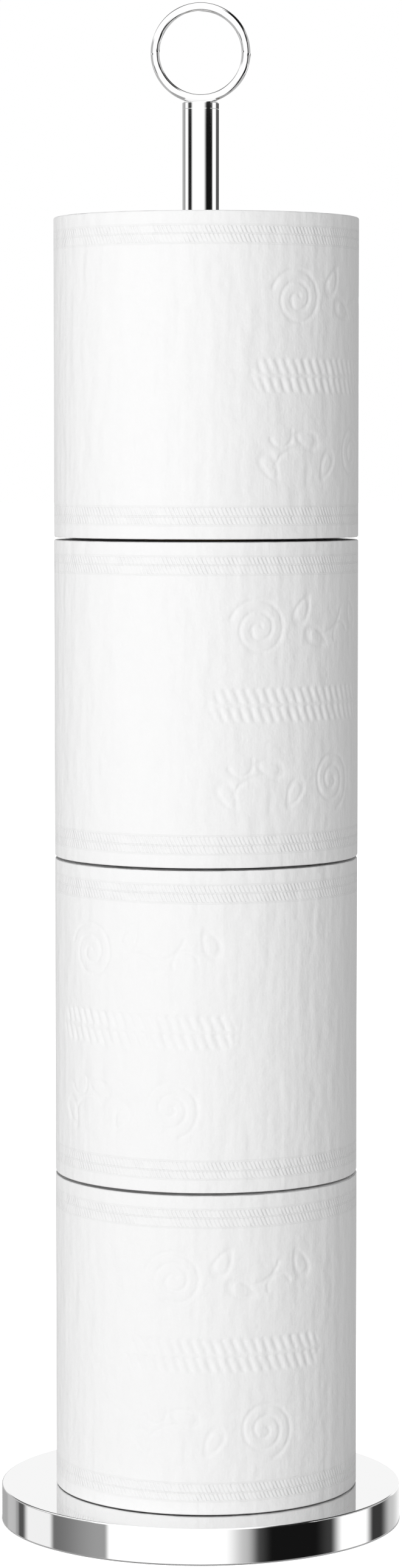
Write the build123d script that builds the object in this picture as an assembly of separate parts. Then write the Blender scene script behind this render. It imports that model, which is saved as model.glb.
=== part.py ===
from build123d import *

import os

# Free-standing toilet roll storage holder, with the four spare rolls that it stores.
#
# A chromed pole stands on a weighted round base and ends in a ring to lift it by. The rolls
# are threaded over the ring and stacked round the pole. Everything is in millimetres, +Z up,
# and the front looks along -Y. The origin is the middle of the underside, on the floor.

# --- Base: a spun steel cover, an iron weight inside it and a rubber pad underneath ---------
BASE_DIAMETER = 128.1
BASE_HEIGHT = 11.65  # floor to the flat top of the cover
COVER_WALL = 1.0
COVER_EDGE_RADIUS = 0.5  # outer top edge of the cover
COVER_RIM_ABOVE_FLOOR = 0.4
WEIGHT_SIDE_CLEARANCE = 0.35  # between the weight and the inside of the cover
WEIGHT_EDGE_CHAMFER = 0.6
PAD_THICKNESS = 1.8
PAD_SIDE_CLEARANCE = 0.4  # between the pad and the inside of the cover
PAD_HOLE_DIAMETER = 24.0  # the screw is reached through it

# --- Pole: two lengths of chromed tube that screw together out of sight, inside the rolls ---
POLE_DIAMETER = 11.5
POLE_WALL = 0.9
POLE_TOP_HEIGHT = 451.75  # floor to the flat top of the cap
LOWER_TUBE_LENGTH = 215.0
PLUG_CLEARANCE = 0.03  # radial, between a pressed-in plug and its tube
FOOT_INSERT_LENGTH = 22.0
JOINT_SOCKET_LENGTH = 18.0
JOINT_PLUG_LENGTH = 14.0
JOINT_SPIGOT_LENGTH = 12.0
CAP_HEAD_HEIGHT = 2.2
CAP_EDGE_RADIUS = 0.3
CAP_SPIGOT_LENGTH = 10.0

# --- Screws and washers: one thread size throughout ----------------------------------------
THREAD_DIAMETER = 6.0
THREAD_CLEARANCE = 0.05  # radial, between a thread and its tapped bore
THREAD_CHAMFER = 0.6  # at screw tips and at the mouths of tapped bores
SCREW_HOLE_CLEARANCE = 0.3  # radial, where the screw passes through the weight and the cover
SCREW_GRIP_LENGTH = 24.0  # under the head
SCREW_HEAD_DIAMETER = 11.0
SCREW_HEAD_HEIGHT = 3.0
SCREW_HEAD_EDGE_RADIUS = 0.8
SOCKET_ACROSS_FLATS = 4.0
SOCKET_DEPTH = 2.0
WASHER_DIAMETER = 14.0
WASHER_BORE_CLEARANCE = 0.2  # radial
FLAT_WASHER_THICKNESS = 1.2
LOCK_WASHER_DIAMETER = 11.4
LOCK_WASHER_THICKNESS = 1.4
LOCK_WASHER_SPLIT = 1.2
LOCK_WASHER_SPLIT_ANGLE = 20.0  # degrees off square
COUNTERBORE_CLEARANCE = 1.0  # radial, round the flat washer
HEAD_ABOVE_PAD = 0.2  # the screw's head stays this far inside the underside of the weight

# --- Ring handle: one closed ring of round wire, let into the cap and welded ----------------
RING_OUTER_DIAMETER = 31.5
RING_WIRE_DIAMETER = 2.85
RING_SEAT_DEPTH = 0.35  # how deep the wire sits in the cap
RING_SEAT_CLEARANCE = 0.05

# --- Rolls: tissue wound on a board core, stacked core on core ------------------------------
ROLL_COUNT = 4
ROLL_DIAMETER = 96.4
ROLL_EDGE_RADIUS = 0.5
ROLL_OFFSET = 1.7  # the stack stands off the pole's middle, towards +X
CORE_LENGTH = 101.05
CORE_DIAMETER = 44.0
CORE_WALL = 1.0
CORE_STAND_OUT = 0.35  # the core stands out past the tissue at each end
TOP_ROLL_EXTRA_STAND_OUT = 0.1  # more core shows below the top roll, which leaves a wider gap
LOWEST_ROLL_STAND_OUT = 0.2  # the lowest roll has settled, so less core shows under it
TISSUE_CLEARANCE = 0.05  # radial, between the tissue and its core
LIFT_CLEARANCE = 5.0  # a lifted-off roll's core ends this far above the ring

# --- Worked out from the sizes above --------------------------------------------------------
BASE_RADIUS = BASE_DIAMETER / 2
COVER_INNER_RADIUS = BASE_RADIUS - COVER_WALL
COVER_UNDERSIDE = BASE_HEIGHT - COVER_WALL
POLE_RADIUS = POLE_DIAMETER / 2
PLUG_RADIUS = POLE_RADIUS - POLE_WALL - PLUG_CLEARANCE
POLE_JOINT_HEIGHT = BASE_HEIGHT + LOWER_TUBE_LENGTH
CAP_SHOULDER_HEIGHT = POLE_TOP_HEIGHT - CAP_HEAD_HEIGHT
THREAD_RADIUS = THREAD_DIAMETER / 2
TAPPED_RADIUS = THREAD_RADIUS + THREAD_CLEARANCE
SCREW_HOLE_RADIUS = THREAD_RADIUS + SCREW_HOLE_CLEARANCE
WASHER_BORE_RADIUS = THREAD_RADIUS + WASHER_BORE_CLEARANCE
SCREW_HEAD_BOTTOM = PAD_THICKNESS + HEAD_ABOVE_PAD
LOCK_WASHER_BOTTOM = SCREW_HEAD_BOTTOM + SCREW_HEAD_HEIGHT
FLAT_WASHER_BOTTOM = LOCK_WASHER_BOTTOM + LOCK_WASHER_THICKNESS
COUNTERBORE_CEILING = FLAT_WASHER_BOTTOM + FLAT_WASHER_THICKNESS
RING_WIRE_RADIUS = RING_WIRE_DIAMETER / 2
RING_CENTRE_RADIUS = RING_OUTER_DIAMETER / 2 - RING_WIRE_RADIUS
RING_CENTRE_HEIGHT = POLE_TOP_HEIGHT - RING_SEAT_DEPTH + RING_OUTER_DIAMETER / 2
RING_TOP_HEIGHT = RING_CENTRE_HEIGHT + RING_OUTER_DIAMETER / 2
CORE_RADIUS = CORE_DIAMETER / 2


def disc(radius, bottom, height):
    """A solid cylinder about the Z axis that stands on the height called bottom."""
    return Pos(0, 0, bottom) * Cylinder(
        radius, height, align=(Align.CENTER, Align.CENTER, Align.MIN)
    )


def tube(outer_radius, inner_radius, bottom, height):
    """A plain tube or holed disc about the Z axis."""
    return disc(outer_radius, bottom, height) - disc(inner_radius, bottom, height)


def circles_at(solid, height, radius):
    """The round edges of a solid that lie at one height and have one radius."""
    edges = solid.edges().filter_by(GeomType.CIRCLE)
    tolerance = 0.001
    return edges.filter_by(
        lambda edge: abs(edge.center().Z - height) < tolerance
        and abs(edge.radius - radius) < tolerance
    )


def base_cover():
    """A round cup with its mouth down, and a hole for the screw."""
    rim_to_top = BASE_HEIGHT - COVER_RIM_ABOVE_FLOOR
    cup = disc(BASE_RADIUS, COVER_RIM_ABOVE_FLOOR, rim_to_top)
    cup = fillet(circles_at(cup, BASE_HEIGHT, BASE_RADIUS), COVER_EDGE_RADIUS)
    cup -= disc(COVER_INNER_RADIUS, COVER_RIM_ABOVE_FLOOR, rim_to_top - COVER_WALL)
    return cup - disc(SCREW_HOLE_RADIUS, COVER_UNDERSIDE, COVER_WALL)


def base_weight():
    """An iron disc that fills the cover, counterbored for the screw's head and washers."""
    radius = COVER_INNER_RADIUS - WEIGHT_SIDE_CLEARANCE
    weight = disc(radius, PAD_THICKNESS, COVER_UNDERSIDE - PAD_THICKNESS)
    rims = circles_at(weight, COVER_UNDERSIDE, radius) + circles_at(weight, PAD_THICKNESS, radius)
    weight = chamfer(rims, WEIGHT_EDGE_CHAMFER)
    weight -= disc(
        WASHER_DIAMETER / 2 + COUNTERBORE_CLEARANCE,
        PAD_THICKNESS,
        COUNTERBORE_CEILING - PAD_THICKNESS,
    )
    return weight - disc(
        SCREW_HOLE_RADIUS, COUNTERBORE_CEILING, COVER_UNDERSIDE - COUNTERBORE_CEILING
    )


def base_pad():
    """The non-slip pad that the holder stands on."""
    return tube(COVER_INNER_RADIUS - PAD_SIDE_CLEARANCE, PAD_HOLE_DIAMETER / 2, 0, PAD_THICKNESS)


def base_screw():
    """A button-head screw, driven from below into the pole's foot."""
    head_radius = SCREW_HEAD_DIAMETER / 2
    head = disc(head_radius, SCREW_HEAD_BOTTOM, SCREW_HEAD_HEIGHT)
    head = fillet(circles_at(head, SCREW_HEAD_BOTTOM, head_radius), SCREW_HEAD_EDGE_RADIUS)
    shank = disc(THREAD_RADIUS, LOCK_WASHER_BOTTOM, SCREW_GRIP_LENGTH)
    tip = circles_at(shank, LOCK_WASHER_BOTTOM + SCREW_GRIP_LENGTH, THREAD_RADIUS)
    shank = chamfer(tip, THREAD_CHAMFER)
    key_hole = Pos(0, 0, SCREW_HEAD_BOTTOM) * extrude(
        RegularPolygon(SOCKET_ACROSS_FLATS / 2, 6, major_radius=False), SOCKET_DEPTH
    )
    return head + shank - key_hole


def lock_washer():
    """A split spring washer under the screw's head."""
    ring = tube(
        LOCK_WASHER_DIAMETER / 2, WASHER_BORE_RADIUS, LOCK_WASHER_BOTTOM, LOCK_WASHER_THICKNESS
    )
    slot_middle = Pos(LOCK_WASHER_DIAMETER / 2, 0, LOCK_WASHER_BOTTOM + LOCK_WASHER_THICKNESS / 2)
    slot = Box(LOCK_WASHER_DIAMETER, LOCK_WASHER_SPLIT, WASHER_DIAMETER)
    return ring - slot_middle * Rot(X=LOCK_WASHER_SPLIT_ANGLE) * slot


def flat_washer():
    """The washer that spreads the screw's load on the weight."""
    return tube(
        WASHER_DIAMETER / 2, WASHER_BORE_RADIUS, FLAT_WASHER_BOTTOM, FLAT_WASHER_THICKNESS
    )


def tapped_plug(bottom, length, mouth_height):
    """A plug pressed into a tube, tapped right through, with a chamfered mouth."""
    plug = tube(PLUG_RADIUS, TAPPED_RADIUS, bottom, length)
    return chamfer(circles_at(plug, mouth_height, TAPPED_RADIUS), THREAD_CHAMFER)


def foot_insert():
    """Tapped plug in the lower tube's foot, which takes the base screw."""
    return tapped_plug(BASE_HEIGHT, FOOT_INSERT_LENGTH, BASE_HEIGHT)


def pole_lower():
    """The lower length of the pole."""
    return tube(POLE_RADIUS, POLE_RADIUS - POLE_WALL, BASE_HEIGHT, LOWER_TUBE_LENGTH)


def joint_socket():
    """Tapped plug in the lower tube's top, which takes the upper tube's spigot."""
    bottom = POLE_JOINT_HEIGHT - JOINT_SOCKET_LENGTH
    return tapped_plug(bottom, JOINT_SOCKET_LENGTH, POLE_JOINT_HEIGHT)


def joint_stud():
    """Plug in the upper tube's foot, with a threaded spigot that hangs below it."""
    spigot_tip = POLE_JOINT_HEIGHT - JOINT_SPIGOT_LENGTH
    spigot = disc(THREAD_RADIUS, spigot_tip, JOINT_SPIGOT_LENGTH)
    spigot = chamfer(circles_at(spigot, spigot_tip, THREAD_RADIUS), THREAD_CHAMFER)
    return disc(PLUG_RADIUS, POLE_JOINT_HEIGHT, JOINT_PLUG_LENGTH) + spigot


def pole_upper():
    """The upper length of the pole, from the hidden joint to the cap."""
    length = CAP_SHOULDER_HEIGHT - POLE_JOINT_HEIGHT
    return tube(POLE_RADIUS, POLE_RADIUS - POLE_WALL, POLE_JOINT_HEIGHT, length)


def ring_torus(wire_radius):
    """The ring's shape, upright and facing the front, for a given wire radius."""
    return Pos(0, 0, RING_CENTRE_HEIGHT) * Rot(X=90) * Torus(RING_CENTRE_RADIUS, wire_radius)


def top_cap():
    """Turned cap that closes the upper tube, with a rounded edge and a seat for the ring."""
    head = disc(POLE_RADIUS, CAP_SHOULDER_HEIGHT, CAP_HEAD_HEIGHT)
    head = fillet(circles_at(head, POLE_TOP_HEIGHT, POLE_RADIUS), CAP_EDGE_RADIUS)
    spigot = disc(PLUG_RADIUS, CAP_SHOULDER_HEIGHT - CAP_SPIGOT_LENGTH, CAP_SPIGOT_LENGTH)
    return head + spigot - ring_torus(RING_WIRE_RADIUS + RING_SEAT_CLEARANCE)


def ring_handle():
    """The closed ring that the holder is lifted by."""
    return ring_torus(RING_WIRE_RADIUS)


def core_bottom(level):
    """The height of a core's lower end; level 0 is the lowest roll."""
    return BASE_HEIGHT + level * CORE_LENGTH


def roll_core(level):
    """The board tube that the tissue is wound on."""
    core = tube(CORE_RADIUS, CORE_RADIUS - CORE_WALL, core_bottom(level), CORE_LENGTH)
    return Pos(ROLL_OFFSET, 0, 0) * core


def roll_paper(level):
    """The wound tissue, a little shorter than its core at both ends."""
    stand_out = CORE_STAND_OUT
    if level == 0:
        stand_out = LOWEST_ROLL_STAND_OUT
    if level == ROLL_COUNT - 1:
        stand_out += TOP_ROLL_EXTRA_STAND_OUT
    bottom = core_bottom(level) + stand_out
    top = core_bottom(level + 1) - CORE_STAND_OUT
    radius = ROLL_DIAMETER / 2
    paper = tube(radius, CORE_RADIUS + TISSUE_CLEARANCE, bottom, top - bottom)
    rims = circles_at(paper, top, radius) + circles_at(paper, bottom, radius)
    return Pos(ROLL_OFFSET, 0, 0) * fillet(rims, ROLL_EDGE_RADIUS)


def all_pieces():
    """Every physical piece by name, from the floor up, then the rolls from the lowest."""
    pieces = {
        "base_pad": base_pad(),
        "base_weight": base_weight(),
        "base_cover": base_cover(),
        "base_screw": base_screw(),
        "lock_washer": lock_washer(),
        "flat_washer": flat_washer(),
        "foot_insert": foot_insert(),
        "pole_lower": pole_lower(),
        "joint_socket": joint_socket(),
        "joint_stud": joint_stud(),
        "pole_upper": pole_upper(),
        "top_cap": top_cap(),
        "ring_handle": ring_handle(),
    }
    for level in range(ROLL_COUNT):
        pieces[f"roll_{level + 1}_core"] = roll_core(level)
        pieces[f"roll_{level + 1}_paper"] = roll_paper(level)
    return pieces


def print_facts():
    """Print the heights and travels that a description of the holder needs."""
    print(f"overall height {RING_TOP_HEIGHT:.3f}, ring centre {RING_CENTRE_HEIGHT:.3f}")
    for level in range(ROLL_COUNT):
        travel = RING_TOP_HEIGHT + LIFT_CLEARANCE - core_bottom(level)
        print(f"roll {level + 1}: core from {core_bottom(level):.2f}, lifts off in {travel:.2f}")


os.makedirs("parts", exist_ok=True)
for name, shape in all_pieces().items():
    export_step(shape, f"parts/{name}.step")
print_facts()
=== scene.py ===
"""Looks, light and camera for a free-standing toilet roll storage holder.

A chromed pole on a weighted round base ends in a ring to lift it by, and four tissue rolls are
threaded on it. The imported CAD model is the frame: sizes in this file are in millimetres, and
places come from the boxes of the CAD nodes.

Directions round the object are azimuths in degrees: 0 faces the camera and positive values turn
towards the camera's right.
"""

import logging
import math
from dataclasses import dataclass, field
from enum import Enum
from typing import Any, Sequence

import bmesh
import bpy
import numpy as np
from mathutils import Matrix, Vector


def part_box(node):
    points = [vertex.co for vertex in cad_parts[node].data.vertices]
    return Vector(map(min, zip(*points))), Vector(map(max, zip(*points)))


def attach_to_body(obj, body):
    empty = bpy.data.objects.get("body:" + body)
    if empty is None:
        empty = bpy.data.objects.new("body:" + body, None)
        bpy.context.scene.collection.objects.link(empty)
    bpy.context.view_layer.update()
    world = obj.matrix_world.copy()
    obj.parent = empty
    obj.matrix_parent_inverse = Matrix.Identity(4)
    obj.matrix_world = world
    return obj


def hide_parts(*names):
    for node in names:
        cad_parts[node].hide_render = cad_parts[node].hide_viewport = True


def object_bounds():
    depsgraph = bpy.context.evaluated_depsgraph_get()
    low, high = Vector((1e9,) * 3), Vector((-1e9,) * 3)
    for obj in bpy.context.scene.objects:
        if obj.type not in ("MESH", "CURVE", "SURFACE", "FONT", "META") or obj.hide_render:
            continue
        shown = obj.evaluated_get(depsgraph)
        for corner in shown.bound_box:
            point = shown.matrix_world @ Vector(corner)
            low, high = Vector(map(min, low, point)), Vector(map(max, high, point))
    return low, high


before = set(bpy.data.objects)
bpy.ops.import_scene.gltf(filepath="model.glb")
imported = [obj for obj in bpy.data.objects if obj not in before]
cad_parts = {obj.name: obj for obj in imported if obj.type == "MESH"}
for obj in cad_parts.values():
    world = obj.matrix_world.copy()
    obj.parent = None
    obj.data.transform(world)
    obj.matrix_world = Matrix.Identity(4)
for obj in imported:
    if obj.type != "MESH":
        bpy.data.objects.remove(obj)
CAD_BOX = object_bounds()

MM = 0.001  # metres in a millimetre; Blender and the frame work in metres
FULL_TURN = 2 * math.pi
TOGETHER = 1e-6  # points closer than this are one; in metres on a mesh, else in millimetres
MIX_A, MIX_B, MIX_RESULT = 6, 7, 2  # a Mix node's colours, whose names other sockets share
LOG = logging.getLogger("roll_holder")

Point = tuple[float, float]
Colour = tuple[float, float, float, float]
Inputs = dict[Any, Any] | Sequence[Any]
Tree = bpy.types.NodeTree
Node = bpy.types.Node
Socket = bpy.types.NodeSocket
Material = bpy.types.Material
Piece = bpy.types.Object


class Slot(str, Enum):
    """The record's material slots that this file's own pieces stand for."""

    CHROME = "chrome_plate"
    RUBBER = "pad_rubber"
    TISSUE = "tissue"
    BOARD = "core_board"


class Hand(Enum):
    """Which way an embossed spiral winds."""

    LEFT = -1
    RIGHT = 1


# --- Nodes and colours -----------------------------------------------------------------------


def linear(colour: str) -> Colour:
    """Turns an sRGB hex colour into linear RGBA, by the sRGB standard's own curve.

    Args:
        colour: Six hex digits after a hash.

    Returns:
        Linear red, green and blue, and an alpha of 1.
    """
    channels = (int(colour[i : i + 2], 16) / 255 for i in (1, 3, 5))
    red, green, blue = (
        c / 12.92 if c <= 0.04045 else ((c + 0.055) / 1.055) ** 2.4 for c in channels
    )
    return red, green, blue, 1.0


def add_node(tree: Tree, kind: str, inputs: Inputs = (), **settings: Any) -> Node:
    """Adds one node with its settings and links.

    Args:
        tree: The node tree that gets it.
        kind: The node's type name, less the ShaderNode in front.
        inputs: A constant, a socket, or a node whose first output is used, by the input's name
            or number, or in order.
        settings: The node's own options.

    Returns:
        The new node.
    """
    node = tree.nodes.new(f"ShaderNode{kind}")
    for option, value in settings.items():
        setattr(node, option, value)
    for key, value in inputs.items() if isinstance(inputs, dict) else enumerate(inputs):
        if isinstance(value, Node):
            value = value.outputs[0]
        if isinstance(value, Socket):
            tree.links.new(value, node.inputs[key])
        else:
            node.inputs[key].default_value = value
    return node


def new_material(name: str) -> tuple[Material, Tree]:
    """Starts a material without nodes.

    Args:
        name: The material's name.

    Returns:
        The material and its node tree.
    """
    material = bpy.data.materials.new(name)
    material.use_nodes = True
    material.node_tree.nodes.clear()
    return material, material.node_tree


def surface(tree: Tree, inputs: dict[str, Any], relief: Any = None, depth: float = 1.0) -> None:
    """Ends a material with its principled shader.

    Args:
        tree: The material's nodes.
        inputs: The shader's inputs.
        relief: The heights that its bump follows, if it has one.
        depth: What a height of 1 stands for, in millimetres.
    """
    if relief is not None:
        bump = add_node(tree, "Bump", {"Height": relief, "Distance": depth * MM})
        inputs = {**inputs, "Normal": bump}
    shader = add_node(tree, "BsdfPrincipled", inputs)
    add_node(tree, "OutputMaterial", {"Surface": shader})


def scale(size: float) -> float:
    """Turns a pattern's real size in millimetres into a texture's scale."""
    return 1 / (size * MM)


def mottled(
    tree: Tree, place: Socket, size: float, detail: float, low: str, high: str
) -> tuple[Node, Socket]:
    """Mixes two colours by soft noise.

    Args:
        tree: The material's nodes.
        place: The place on the piece.
        size: The size of the patches, in millimetres.
        detail: How many finer layers the noise has.
        low: The colour where the noise is low.
        high: The colour where it is high.

    Returns:
        The noise and the mixed colour.
    """
    noise = add_node(tree, "TexNoise", {"Vector": place, "Scale": scale(size), "Detail": detail})
    inputs = {"Factor": noise, MIX_A: linear(low), MIX_B: linear(high)}
    mix = add_node(tree, "Mix", inputs, data_type="RGBA")
    return noise, mix.outputs[MIX_RESULT]


def bearing(tree: Tree, place: Socket) -> tuple[Node, Node]:
    """Finds the azimuth of a place or a direction.

    Args:
        tree: The node tree.
        place: The place or direction.

    Returns:
        Its coordinates, one by one, and its azimuth in radians.
    """
    xyz = add_node(tree, "SeparateXYZ", (place,))
    to_front = add_node(tree, "Math", (xyz.outputs["Y"], -1.0), operation="MULTIPLY")
    return xyz, add_node(tree, "Math", (xyz.outputs["X"], to_front), operation="ARCTAN2")


# --- Meshes ----------------------------------------------------------------------------------


@dataclass(frozen=True)
class Extent:
    """Where a round CAD node stands."""

    centre_x: float
    radius: float
    bottom: float
    top: float

    @classmethod
    def of(cls, node: str) -> "Extent":
        """Reads the place of one CAD node from the frame.

        Args:
            node: The node's name.

        Returns:
            Its axis, radius, lowest and highest points.
        """
        low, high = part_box(node)
        return cls(
            (low.x + high.x) / 2 / MM, (high.x - low.x) / 2 / MM, low.z / MM, high.z / MM
        )

    @property
    def middle(self) -> float:
        """The height of its middle."""
        return (self.bottom + self.top) / 2

    @property
    def height(self) -> float:
        """Its height."""
        return self.top - self.bottom

    @property
    def centre(self) -> tuple[float, float, float]:
        """The middle of the node, in metres."""
        return self.centre_x * MM, 0.0, self.middle * MM


@dataclass(frozen=True)
class Corner:
    """A corner of a turned profile, and how far it is rounded."""

    radius: float
    height: float
    rounding: float = 0.0


def rounded(
    corners: Sequence[Corner], closed: bool = True, steps: int = 8, hold: float = 0.1
) -> np.ndarray:
    """Draws a turned profile with rounded corners.

    Args:
        corners: The corners in order; the end corners of an open profile stay sharp.
        closed: Whether the last corner joins the first.
        steps: Facets in each rounded corner.
        hold: How far beyond each rounding a further point keeps the flats flat, in millimetres.

    Returns:
        The profile's points as rows of radius and height.
    """
    places = np.array([(c.radius, c.height) for c in corners])
    outline: list[np.ndarray] = []
    for i, corner in enumerate(corners):
        here = places[i]
        at_end = not closed and i in (0, len(corners) - 1)
        if corner.rounding == 0 or at_end:
            outline.append(here)
            continue
        before = places[i - 1] - here
        after = places[(i + 1) % len(corners)] - here
        room_before, room_after = np.linalg.norm(before), np.linalg.norm(after)
        before, after = before / room_before, after / room_after
        half_angle = math.acos(float(np.clip(before @ after, -1, 1))) / 2
        inward = (before + after) / np.linalg.norm(before + after)
        centre = here + inward * corner.rounding / math.sin(half_angle)
        reach = corner.rounding / math.tan(half_angle)
        first, last = here + before * reach - centre, here + after * reach - centre
        start = math.atan2(first[1], first[0])
        sweep = math.atan2(last[1], last[0]) - start
        sweep = (sweep + math.pi) % FULL_TURN - math.pi
        if room_before > 2 * (reach + hold):
            outline.append(here + before * (reach + hold))
        for step in range(steps + 1):
            angle = start + sweep * step / steps
            outline.append(centre + corner.rounding * np.array((math.cos(angle), math.sin(angle))))
        if room_after > 2 * (reach + hold):
            outline.append(here + after * (reach + hold))
    return np.array(outline)


def add_object(name: str, data: Any) -> Piece:
    """Adds an object to the scene.

    Args:
        name: Its name.
        data: Its mesh, lamp or camera.

    Returns:
        The object.
    """
    added = bpy.data.objects.new(name, data)
    bpy.context.scene.collection.objects.link(added)
    return added


def grid_object(name: str, points: np.ndarray, closed_rows: bool = True) -> Piece:
    """Makes a smooth object from a grid of points whose columns close round on themselves.

    Args:
        name: The piece's name.
        points: Rows by columns by xyz, in millimetres.
        closed_rows: Whether the last row joins the first; otherwise end rows lie on the axis.

    Returns:
        The new object, with its faces turned outwards.
    """
    rows, columns, _ = points.shape
    index = np.arange(rows * columns).reshape(rows, columns)
    near = index if closed_rows else index[:-1]
    far = np.roll(index, -1, axis=0) if closed_rows else index[1:]
    corners = (near, np.roll(near, -1, axis=1), np.roll(far, -1, axis=1), far)
    quads = np.stack([corner.ravel() for corner in corners], axis=-1)
    places = points.reshape(-1, 3)
    a, b, c, d = (places[corner] for corner in quads.T)
    volume = (np.cross(b, c) * a).sum() + (np.cross(c, d) * a).sum()
    if volume < 0:
        quads = quads[:, ::-1]
    mesh = bpy.data.meshes.new(name)
    mesh.vertices.add(len(places))
    mesh.vertices.foreach_set("co", (places * MM).astype(np.float32).ravel())
    mesh.loops.add(quads.size)
    mesh.loops.foreach_set("vertex_index", np.ascontiguousarray(quads, np.int32).ravel())
    mesh.polygons.add(len(quads))
    starts = np.arange(0, quads.size, len(corners), dtype=np.int32)
    mesh.polygons.foreach_set("loop_start", starts)
    mesh.polygons.foreach_set("use_smooth", np.ones(len(quads), bool))
    mesh.update(calc_edges=True)
    if not closed_rows:
        join_at_axis(mesh)
    return add_object(name, mesh)


def join_at_axis(mesh: bpy.types.Mesh) -> None:
    """Joins the points of a turned mesh that lie together on its axis.

    Args:
        mesh: The mesh, with a whole ring of points at each end of its profile.
    """
    work = bmesh.new()
    work.from_mesh(mesh)
    bmesh.ops.remove_doubles(work, verts=work.verts, dist=TOGETHER)
    work.to_mesh(mesh)
    work.free()


def around(radius: np.ndarray, azimuth: np.ndarray, height: np.ndarray) -> np.ndarray:
    """Places points round the Z axis.

    Args:
        radius: Distances from the axis.
        azimuth: Angles round it, in radians.
        height: Heights.

    Returns:
        The points, with xyz last.
    """
    places = np.broadcast_arrays(radius * np.sin(azimuth), -radius * np.cos(azimuth), height)
    return np.stack(places, axis=-1)


def turned(name: str, profile: np.ndarray, facets: int, closed: bool = True) -> Piece:
    """Turns a profile round the Z axis.

    Args:
        name: The piece's name.
        profile: Rows of radius and height.
        facets: How many facets go round.
        closed: Whether the profile closes on itself; an open one ends on the axis.

    Returns:
        The new object, whose flats reflect flat right up to their rounded edges.
    """
    azimuth = np.linspace(0, FULL_TURN, facets, endpoint=False)
    piece = grid_object(name, around(profile[:, :1], azimuth, profile[:, 1:]), closed)
    piece.modifiers.new("flat_reflections", "WEIGHTED_NORMAL")
    return piece


def spaced(spans: Sequence[tuple[float, float, int]]) -> np.ndarray:
    """Divides adjoining spans, each into its own number of equal parts.

    Args:
        spans: The first value, last value and number of parts of each span.

    Returns:
        The values, without the very last.
    """
    return np.concatenate([np.linspace(*span, endpoint=False) for span in spans])


def smooth_step(values: np.ndarray, low: float, high: float) -> np.ndarray:
    """Rises smoothly from 0 at low to 1 at high."""
    share = np.clip((values - low) / (high - low), 0, 1)
    return share * share * (3 - 2 * share)


# --- Finishes --------------------------------------------------------------------------------


@dataclass(frozen=True)
class PolishedChrome:
    """Chromium plate on polished steel.

    Electroplated over a mirror-buffed surface: a neutral mirror with no grain, only a faint
    buffing haze that varies over a few centimetres.
    """

    colour: str = "#f3f3f3"
    roughness: float = 0.025
    haze: float = 0.02
    haze_size: float = 18.0

    def build(self) -> Material:
        """Builds the finish.

        Returns:
            Its material.
        """
        material, tree = new_material("polished_chrome_plate")
        place = add_node(tree, "TexCoord").outputs["Object"]
        clouds = add_node(tree, "TexNoise", {"Vector": place, "Scale": scale(self.haze_size)})
        haze = add_node(
            tree,
            "MapRange",
            {"Value": clouds, "To Min": self.roughness, "To Max": self.roughness + self.haze},
        )
        surface(tree, {"Base Color": linear(self.colour), "Metallic": 1.0, "Roughness": haze})
        return material


@dataclass(frozen=True)
class ZincPlate:
    """Bright zinc plate on mild steel, as on bought screws, washers and turned plugs.

    Barrel-plated: a slightly blue satin metal with cloudy patches and fine tool marks.
    """

    colour: str = "#c3c7cb"
    patch_colour: str = "#aab0b6"
    patch_size: float = 2.5
    patch_detail: float = 4.0
    tool_mark_pitch: float = 0.25
    tool_mark_depth: float = 0.01
    tool_mark_wander: float = 1.0
    roughness: float = 0.32

    def build(self) -> Material:
        """Builds the finish.

        Returns:
            Its material.
        """
        material, tree = new_material("zinc_plated_steel")
        place = add_node(tree, "TexCoord").outputs["Object"]
        _, colour = mottled(
            tree, place, self.patch_size, self.patch_detail, self.patch_colour, self.colour
        )
        pitch = scale(self.tool_mark_pitch) / FULL_TURN
        marks = add_node(
            tree,
            "TexWave",
            {"Vector": place, "Scale": pitch, "Distortion": self.tool_mark_wander},
            bands_direction="Z",
        )
        inputs = {"Base Color": colour, "Metallic": 1.0, "Roughness": self.roughness}
        surface(tree, inputs, marks.outputs["Fac"], self.tool_mark_depth)
        return material


@dataclass(frozen=True)
class CastIron:
    """Grey cast iron with a thin black paint, as on hidden weights.

    Sand-cast and dipped: nearly black and matt, with the grain of the sand mould left in it.
    """

    colour: str = "#2c2c2e"
    worn_colour: str = "#454443"
    sand_grain: float = 0.45
    grain_detail: float = 3.0
    grain_depth: float = 0.12
    roughness: float = 0.8

    def build(self) -> Material:
        """Builds the finish.

        Returns:
            Its material.
        """
        material, tree = new_material("sand_cast_iron")
        place = add_node(tree, "TexCoord").outputs["Object"]
        grain, colour = mottled(
            tree, place, self.sand_grain, self.grain_detail, self.colour, self.worn_colour
        )
        inputs = {"Base Color": colour, "Roughness": self.roughness}
        surface(tree, inputs, grain, self.grain_depth)
        return material


@dataclass(frozen=True)
class MouldedRubber:
    """Synthetic rubber, compression-moulded in a blasted tool.

    Black with a soft grey bloom and a fine even stipple; it has hardly any gloss.
    """

    colour: str = "#1a1a1b"
    bloom_colour: str = "#2a2a2b"
    bloom_size: float = 9.0
    bloom_detail: float = 3.0
    stipple: float = 0.5
    stipple_depth: float = 0.04
    roughness: float = 0.85

    def build(self) -> Material:
        """Builds the finish.

        Returns:
            Its material.
        """
        material, tree = new_material("moulded_rubber")
        place = add_node(tree, "TexCoord").outputs["Object"]
        _, colour = mottled(
            tree, place, self.bloom_size, self.bloom_detail, self.colour, self.bloom_colour
        )
        pits = add_node(tree, "TexVoronoi", {"Vector": place, "Scale": scale(self.stipple)})
        inputs = {"Base Color": colour, "Roughness": self.roughness}
        surface(tree, inputs, pits, self.stipple_depth)
        return material


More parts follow.
